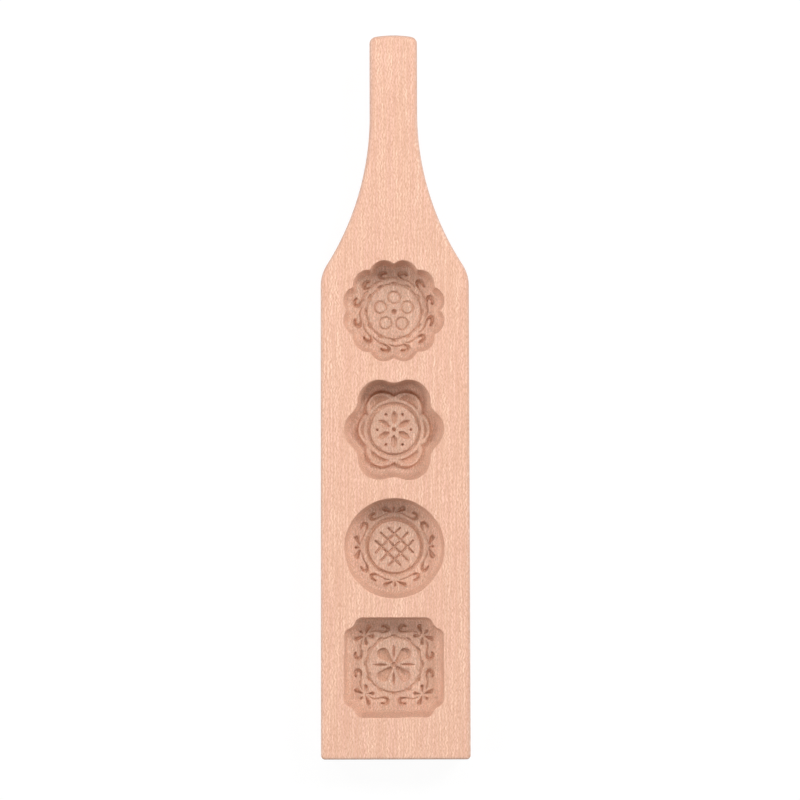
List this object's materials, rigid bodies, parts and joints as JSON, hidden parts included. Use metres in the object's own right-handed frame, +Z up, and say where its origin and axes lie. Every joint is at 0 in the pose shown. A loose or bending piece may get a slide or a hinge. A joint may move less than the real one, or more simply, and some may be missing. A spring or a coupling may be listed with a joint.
{
  "type": "pastry mold",
  "caption": "Long wooden pastry mold with a slim handle and a row of deep cavities, each shaped differently, with carved ornaments in their floors.",
  "frame": {"origin": "on the flat back, in the middle of the overall width and length", "axes": "+X across the board, +Y along it towards the handle, +Z up out of the carved face"},
  "size_m": [0.075, 0.363, 0.025],
  "materials": {
    "beech": "bare sanded wood"
  },
  "bodies": {
    "root": {"mold_board": "beech"}
  },
  "joints": []
}
